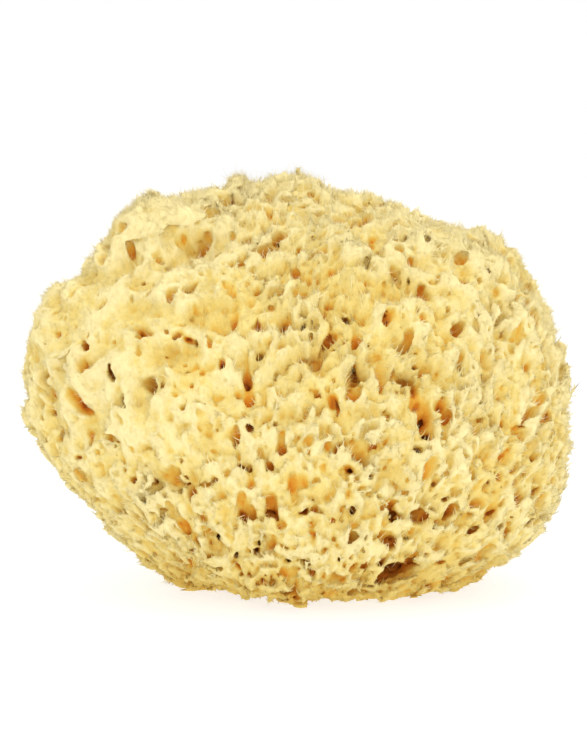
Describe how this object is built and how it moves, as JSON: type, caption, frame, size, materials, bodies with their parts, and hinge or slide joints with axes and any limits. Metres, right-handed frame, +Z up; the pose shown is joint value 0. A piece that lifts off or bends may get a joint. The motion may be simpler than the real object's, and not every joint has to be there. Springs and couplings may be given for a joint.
{
  "type": "sea sponge",
  "caption": "Natural bath sponge: a soft porous lump with a honeycombed skin, slanting canals and a flat cut base to stand on.",
  "frame": {"origin": "middle of the bounding box's underside, on the plane of the flat cut base", "axes": "+Z up; +X along the sponge's width, its longest side; the broad side that the picture shows faces -Y"},
  "size_m": [0.152, 0.118, 0.115],
  "materials": {
    "spongin": "matte"
  },
  "bodies": {
    "root": {"sponge": "spongin"}
  },
  "joints": []
}
